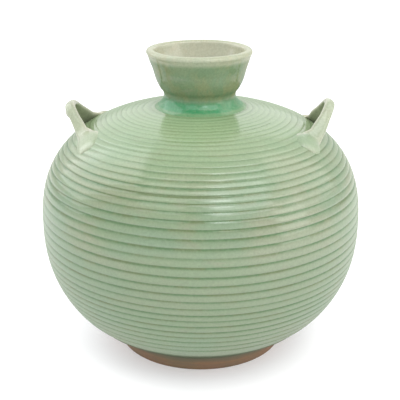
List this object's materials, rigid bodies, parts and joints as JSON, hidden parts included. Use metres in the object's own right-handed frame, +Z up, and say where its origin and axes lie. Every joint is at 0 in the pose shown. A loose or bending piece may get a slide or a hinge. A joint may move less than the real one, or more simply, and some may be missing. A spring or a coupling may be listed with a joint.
{
  "type": "celadon globe vase",
  "caption": "Round thrown vase with cut rings, a short flared neck, two strap loops on the shoulder and a bare turned foot.",
  "frame": {"origin": "centre of the foot's underside, on the surface that the vase stands on", "axes": "+Z up along the axis of the globe, +X towards the right-hand loop, -Y towards the front"},
  "size_m": [0.18, 0.18, 0.1709],
  "materials": {
    "body_glaze": "glossy celadon, darker where it pools",
    "neck_glaze": "glossy olive celadon with a thin pale lip",
    "handle_glaze": "glossy thin celadon, cream on the edges",
    "bare_clay": "matt unglazed stoneware"
  },
  "bodies": {
    "root": {"globe": "body_glaze", "neck": "neck_glaze", "handle_left": "handle_glaze", "handle_right": "handle_glaze", "foot_ring": "bare_clay"}
  },
  "joints": []
}
